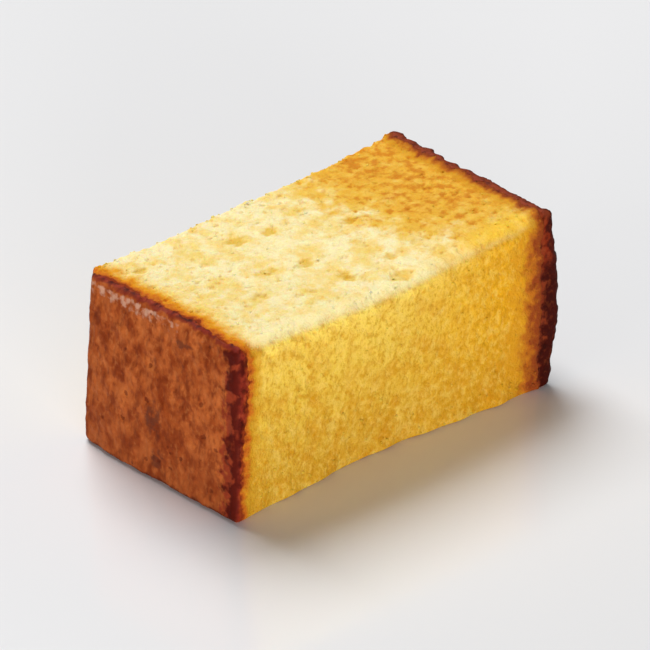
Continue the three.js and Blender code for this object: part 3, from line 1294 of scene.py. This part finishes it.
@dataclass
class ClingingCrumbs:
    """Small crumbs that the knife tore out and that stick to the cuts, most of them at the edges.

    Density is for each square millimetre where the crumb's cling is 1, and the rest in millimetres.
    """

    density: float = 0.8
    smallest: float = 0.1
    largest: float = 0.24
    lumpiness: float = 0.09
    lump_pitch: float = 0.3
    seed: int = 7
    segments: int = 8
    rings: int = 5

    def tree(self, sizes: dict[str, object]) -> bpy.types.NodeTree:
        """Builds the tree that scatters the crumbs.

        Args:
            sizes: Value of each named input.

        Returns:
            The tree.
        """
        inputs = {"Geometry": None, **sizes}
        tree, given, result = geometry_tree("clinging crumbs", inputs, "NodeSocketGeometry")
        add = partial(add_node, tree)
        seed = given["Seed"]
        cling = add("GeometryNodeInputNamedAttribute", {"Name": "cling"}, data_type="FLOAT")
        each = add("ShaderNodeMath", {0: cling, 1: given["Density"]}, operation="MULTIPLY")
        dense = add("ShaderNodeMath", {0: each, 1: MM**-2}, operation="MULTIPLY")
        links = {"Mesh": given["Geometry"], "Density": dense, "Seed": seed}
        spots = add("GeometryNodeDistributePointsOnFaces", links, distribute_method="RANDOM")
        links = {"Segments": self.segments, "Rings": self.rings, "Radius": MM}
        ball = add("GeometryNodeMeshUVSphere", links)
        links = {"Min": given["Smallest"], "Max": given["Largest"], "Seed": seed}
        size = add("FunctionNodeRandomValue", links, data_type="FLOAT")
        links = {"Max": (TAU, TAU, TAU), "Seed": seed}
        angles = add("FunctionNodeRandomValue", links, data_type="FLOAT_VECTOR")
        turn = add("FunctionNodeEulerToRotation", {0: angles})
        links = {"Points": spots, "Instance": ball, "Rotation": turn, "Scale": size}
        placed = add("GeometryNodeInstanceOnPoints", links)
        whole = add("GeometryNodeRealizeInstances", {"Geometry": placed})

        # Each ball becomes an uneven crumb.
        rate = add("ShaderNodeMath", {0: 1.0, 1: given["Lump pitch"]}, operation="DIVIDE")
        links = {"Vector": millimetres(tree), "Scale": rate, "Detail": 1.0}
        noise = add("ShaderNodeTexNoise", links)
        centred = add("ShaderNodeMath", {0: noise, 1: 2.0, 2: -1.0}, operation="MULTIPLY_ADD")
        lump = add("ShaderNodeMath", {0: centred, 1: given["Lumpiness"]}, operation="MULTIPLY")
        end_tree(tree, whole, lump, given["Material"], result)
        return tree

    def build(self, crumb: bpy.types.Object, material: bpy.types.Material) -> bpy.types.Object:
        """Builds and dresses the crumbs.

        Args:
            crumb: The finished sponge that they cling to.
            material: Material of the crumbs.

        Returns:
            The finished piece.
        """
        sizes = {
            "Density": self.density,
            "Smallest": self.smallest,
            "Largest": self.largest,
            "Lumpiness": self.lumpiness,
            "Lump pitch": self.lump_pitch,
            "Seed": self.seed,
            "Material": material,
        }
        piece = bpy.data.objects.new("clinging_crumbs", grow(crumb, self.tree(sizes), sizes))
        bpy.context.scene.collection.objects.link(piece)
        return piece


@dataclass(frozen=True)
class Stain:
    """A dark patch on a skin: its middle and its half axes in millimetres."""

    y: float
    z: float
    half_y: float
    half_z: float


@dataclass
class Crust:
    """One baked crust: a closed slab whose skin faces out and whose rim shows on the cut sides.

    Lengths are in millimetres. Swells are pitches of the skin's slow unevenness and their shares
    of swell. The strip under the top edge is painted with pale beads of painted highlight, where
    the rounded rim catches the light.
    """

    name: str
    shape: CrustShape
    form: SliceForm
    finish: Finish
    swell: float
    swells: tuple[Range, ...] = ((7.5, 0.45), (3.0, 0.45), (1.2, 0.2))
    swell_seed: int = 7
    swell_fade: Range = (0.2, 1.6)
    leather: float = 0.14
    leather_pitch: float = 2.4
    leather_gain: float = 2.6
    wrinkle: float = 0.09
    wrinkle_pitch: float = 1.6
    wrinkle_bend: float = 0.6
    ridge: Range = (-5.0, 0.5)
    close_under: Range = (5.0, 0.5)
    calm: float = 0.35
    hidden: Range = (0.98, 0.8)
    step: float = 0.17
    rim_steps: int = 6
    rim_share: float = 0.8
    skin_from: Range = (0.15, 0.85)
    proud: float = 0.03
    deepest: float = 0.08
    pits: Bubbles = Bubbles(2.2, 0.25, 0.55, 0.6, 0.9, 5.0, 0.9)
    # Where the painted highlight lies under the top edge.
    lip_foot: Range = (3.0, 1.7)
    lip_top: Range = (0.35, 0.95)
    lip_start: Range = (5.0, 8.5)
    lip_rise: Range = (10.0, 19.0)
    lip_least: float = 0.25
    stains: tuple[Stain, ...] = (
        Stain(1.2, 9.3, 1.9, 2.6),
        Stain(-0.2, 3.2, 1.7, 2.4),
        Stain(-4.6, 22.8, 2.0, 0.9),
    )

    def values(self, rounded: Points, y: Points, z: Points) -> dict[str, np.ndarray]:
        """Numbers that the relief and the finish read.

        Args:
            rounded: Depth, Y and Z of each point of the slab with rounded edges.
            y: Y of each point of the sharp slab.
            z: Z of each point of the sharp slab.

        Returns:
            The numbers by name.
        """
        depth, across, up = rounded.T
        under, from_near = self.form.height - up, across + self.form.width / 2

        # Pale beads of painted highlight lie just under the top edge, where the rim catches the
        # light, fewer towards the near corner.
        lip = ease(under, *self.lip_foot) * ease(under, *self.lip_top)
        sheen_beads = self.lip_least + (1 - self.lip_least) * ease(from_near, *self.lip_rise)
        apart = [
            np.hypot((across - stain.y) / stain.half_y, (up - stain.z) / stain.half_z)
            for stain in self.stains
        ]
        return {
            "bake": self.shape.bake(depth, y, z),
            "near_mm": from_near,
            "top_mm": under,
            "foot_mm": up,
            "lip": lip * (ease(from_near, *self.lip_start) * sheen_beads),
            "stained": 1 - np.min(apart, axis=0),
        }

    def slab(self) -> bpy.types.Object:
        """Builds the slab.

        Returns:
            The object.
        """
        form, radius = self.form, self.form.edge_radius
        steps = (2 * self.rim_steps, round(form.width / self.step), round(form.height / self.step))
        lattice, squares = box_shell(steps)
        y = (lattice[:, 1] / steps[1] - 0.5) * form.width
        z = lattice[:, 2] / steps[2] * form.height
        thick = self.shape.thickness(y, z)
        outer = np.minimum(lattice[:, 0] / self.rim_steps, 1)
        inner = np.maximum(lattice[:, 0] / self.rim_steps - 1, 0)
        edge = np.minimum(radius, self.rim_share * thick)
        depth = edge * outer + (thick - edge) * inner

        # The grid of the sharp slab moves onto one with rounded edges.
        half = form.width / 2
        core = np.stack(
            [
                np.maximum(depth, radius),
                np.clip(y, -half + radius, half - radius),
                np.clip(z, radius, form.height - radius),
            ],
            1,
        )
        out = np.stack([depth, y, z], 1) - core
        length = np.maximum(np.linalg.norm(out, axis=1, keepdims=True), TINY)
        turned = out * np.abs(out).max(1, keepdims=True) / length
        rounded = core + turned
        skin = ease(-out[:, 0] / length[:, 0], *self.skin_from)

        # The skin swells and sinks, and the rim stands a little proud of the crumb beside it.
        uneven = 0.0
        for i, (pitch, share) in enumerate(self.swells):
            seed = self.shape.seed + self.swell_seed + i
            uneven = uneven + share * waver(rounded[:, 1:], pitch, seed)
        outwards = self.swell * uneven * (1 - ease(rounded[:, 0], *self.swell_fade))
        grown = rounded.copy()
        grown[:, 0] = self.shape.end.value * (form.length / 2 - rounded[:, 0] + outwards)
        rim = self.proud * (1 - skin) * (lattice[:, 0] < steps[0])
        grown[:, 1] += rim * turned[:, 1] / radius
        grown[:, 2] += rim * np.maximum(turned[:, 2], 0) / radius
        values = {"skin": skin, **self.values(rounded, y, z)}
        return mesh_object(self.name, form.place(grown), [squares], values)

    def skin_tree(
        self, opened: bpy.types.NodeTree, sizes: dict[str, object]
    ) -> bpy.types.NodeTree:
        """Builds the tree that gives the skin its leathery relief and its pits.

        Args:
            opened: The group of opened bubbles.
            sizes: Value of each named input.

        Returns:
            The tree.
        """
        inputs = {"Geometry": None, **sizes}
        tree, given, result = geometry_tree("baked skin", inputs, "NodeSocketGeometry")
        add = partial(add_node, tree)
        skin, under, bake = (
            add("GeometryNodeInputNamedAttribute", {"Name": name}, data_type="FLOAT")
            for name in ("skin", "top_mm", "bake")
        )
        place, normal = millimetres(tree), add("GeometryNodeInputNormal", {})
        links = {"Place": place, "Normal": normal, **self.pits.inputs()}
        holes = add("GeometryNodeGroup", links, node_tree=opened)
        pits = add("ShaderNodeMath", {0: holes, 1: given["Deepest"]}, operation="MINIMUM")

        # Rounded hills of leather.
        rate = add("ShaderNodeMath", {0: 1.0, 1: given["Leather pitch"]}, operation="DIVIDE")
        noise = add("ShaderNodeTexNoise", {"Vector": place, "Scale": rate, "Detail": 2.0})
        links = {0: noise, 1: self.leather_gain, 2: -self.leather_gain / 2}
        centred = add("ShaderNodeMath", links, operation="MULTIPLY_ADD")
        hills = add("ShaderNodeMath", {0: centred, 1: given["Leather"]}, operation="MULTIPLY")

        # Sharp wrinkles where a second noise crosses its middle, closest under the top edge.
        rate = add("ShaderNodeMath", {0: 1.0, 1: given["Wrinkle pitch"]}, operation="DIVIDE")
        links = {"Scale": rate, "Detail": 2.0, "Distortion": self.wrinkle_bend}
        noise = add("ShaderNodeTexNoise", {"Vector": place, **links})
        level = add("ShaderNodeMath", {0: noise, 1: 0.5}, operation="SUBTRACT")
        crease = add("ShaderNodeMath", {0: level}, operation="ABSOLUTE")
        links = {0: crease, 1: self.ridge[0], 2: self.ridge[1]}
        ridge = add("ShaderNodeMath", links, operation="MULTIPLY_ADD")
        low, high = self.close_under
        links = {"Value": under, "From Min": low, "From Max": high, "To Min": self.calm}
        close = add("ShaderNodeMapRange", links, interpolation_type="SMOOTHSTEP")
        sharp = add("ShaderNodeMath", {0: ridge, 1: close}, operation="MULTIPLY")
        links = {0: sharp, 1: given["Wrinkle"], 2: hills}
        relief = add("ShaderNodeMath", links, operation="MULTIPLY_ADD")
        pitted = add("ShaderNodeMath", {0: relief, 1: pits}, operation="SUBTRACT")

        # The cut rim keeps a third of the relief, and the hidden inner side none.
        strength = add("ShaderNodeMapRange", {"Value": skin, "To Min": self.calm})
        low, high = self.hidden
        outer = add("ShaderNodeMapRange", {"Value": bake, "From Min": low, "From Max": high})
        part = add("ShaderNodeMath", {0: strength, 1: outer}, operation="MULTIPLY")
        held = add("ShaderNodeMath", {0: pitted, 1: part}, operation="MULTIPLY")
        links = {"Geometry": given["Geometry"], "Name": "pit", "Value": pits}
        store = {"data_type": "FLOAT", "domain": "POINT"}
        kept = add("GeometryNodeStoreNamedAttribute", links, **store)
        end_tree(tree, kept, held, given["Material"], result)
        return tree

    def build(self, opened: bpy.types.NodeTree) -> bpy.types.Object:
        """Builds and dresses the crust.

        Args:
            opened: The group of opened bubbles.

        Returns:
            The finished piece.
        """
        piece = self.slab()
        sizes = {
            "Leather": self.leather,
            "Leather pitch": self.leather_pitch,
            "Wrinkle": self.wrinkle,
            "Wrinkle pitch": self.wrinkle_pitch,
            "Deepest": self.deepest,
            "Material": self.finish.material(),
        }
        piece.data = grow(piece, self.skin_tree(opened, sizes), sizes)
        return piece


@dataclass(frozen=True)
class Softbox:
    """A soft light that faces the slice: angles in degrees, lengths in metres, power in watts.

    Azimuth 0 is the near side of the slice and 90 the right.
    """

    name: str
    azimuth: float
    elevation: float
    distance: float
    width: float
    height: float
    power: float

    def hang(self) -> None:
        """Hangs the light."""
        light = bpy.data.lights.new(self.name, "AREA")
        light.shape = "RECTANGLE"
        light.size, light.size_y, light.energy = self.width, self.height, self.power
        lamp = bpy.data.objects.new(self.name, light)
        bpy.context.scene.collection.objects.link(lamp)
        a, e = math.radians(self.azimuth), math.radians(self.elevation)
        back = Vector((math.sin(a) * math.cos(e), -math.cos(a) * math.cos(e), math.sin(e)))
        lamp.location = back * self.distance
        lamp.rotation_mode = "QUATERNION"
        lamp.rotation_quaternion = back.to_track_quat("Z", "Y")


@dataclass
class Studio:
    """Pale floor, soft lights and the camera; lengths in metres."""

    camera_place: Triple = (-0.529922, -0.546236, 0.4502)
    camera_range: Range = (0.05, 20.0)
    lens_mm: float = 352.0
    floor_colour: str = "#eeeeef"
    floor_roughness: float = 0.14
    floor_ior: float = 1.6
    floor_reach: float = 6.0
    floor_gap: float = 0.00002
    world: float = 0.12
    softboxes: tuple[Softbox, ...] = (
        Softbox("window", 160, 55, 1.6, 0.9, 0.9, 28),
        Softbox("front fill", -32, 6, 1.8, 0.9, 0.3, 26),
        Softbox("left fill", -88, 9, 1.8, 0.9, 0.4, 4),
    )

    def lay_floor(self) -> None:
        """Lays a smooth pale floor just under the slice."""
        signs = ((-1, -1), (1, -1), (1, 1), (-1, 1))
        corners = [(x * self.floor_reach, y * self.floor_reach, -self.floor_gap) for x, y in signs]
        mesh = bpy.data.meshes.new("floor")
        mesh.from_pydata(corners, [], [(0, 1, 2, 3)])
        material = bpy.data.materials.new("glazed white tabletop")
        material.use_nodes = True
        shader = material.node_tree.nodes["Principled BSDF"]
        shader.inputs["Base Color"].default_value = linear(self.floor_colour)
        shader.inputs["Roughness"].default_value = self.floor_roughness
        shader.inputs["IOR"].default_value = self.floor_ior
        mesh.materials.append(material)
        floor = bpy.data.objects.new("floor", mesh)
        bpy.context.scene.collection.objects.link(floor)

    def set_camera(self, target: Vector) -> None:
        """Sets the camera up.

        Args:
            target: Point at the middle of the picture.
        """
        lens = bpy.data.cameras.new("camera")
        lens.lens = self.lens_mm
        lens.clip_start, lens.clip_end = self.camera_range
        camera = bpy.data.objects.new("camera", lens)
        bpy.context.scene.collection.objects.link(camera)
        camera.location = self.camera_place
        camera.rotation_mode = "QUATERNION"
        camera.rotation_quaternion = (target - camera.location).to_track_quat("-Z", "Y")
        bpy.context.scene.camera = camera

    def build(self) -> None:
        """Sets the whole studio up."""
        low, high = CAD_BOX
        self.lay_floor()
        self.set_camera((low + high) / 2)
        for softbox in self.softboxes:
            softbox.hang()
        world = bpy.data.worlds.new("studio")
        world.use_nodes = True
        sky = world.node_tree.nodes["Background"]
        sky.inputs["Color"].default_value = (1.0, 1.0, 1.0, 1.0)
        sky.inputs["Strength"].default_value = self.world
        bpy.context.scene.world = world
        bpy.context.scene.view_settings.view_transform = "Standard"


def hand_over(piece: bpy.types.Object) -> None:
    """Attaches a finished piece to the body, hides the CAD solid and logs its faces and size.

    Args:
        piece: The piece.
    """
    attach(piece, BODY)
    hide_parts(SOLID)
    sides = " by ".join(f"{side / MM:.1f}" for side in piece.dimensions)
    log.info("%s: %d faces, %s mm", piece.name, len(piece.data.polygons), sides)


def main() -> None:
    """Builds the slice and the studio."""
    logging.basicConfig(level=logging.INFO, format="%(name)s: %(message)s")
    form = SliceForm()
    opened = OpenedBubbles().tree()
    sponge = CUT_SPONGE.material()
    crumb = Crumb(form).build(opened, sponge)
    hand_over(crumb)
    hand_over(ClingingCrumbs().build(crumb, sponge))
    left = Crust("castella_crust_left", LEFT_SHAPE, form, PAPERED_CRUST, swell=0.12)
    hand_over(left.build(opened))
    right = Crust("castella_crust_right", RIGHT_SHAPE, form, OPEN_CRUST, swell=0.36, leather=0.16)
    hand_over(right.build(opened))
    Studio().build()


if __name__ == "__main__":
    main()
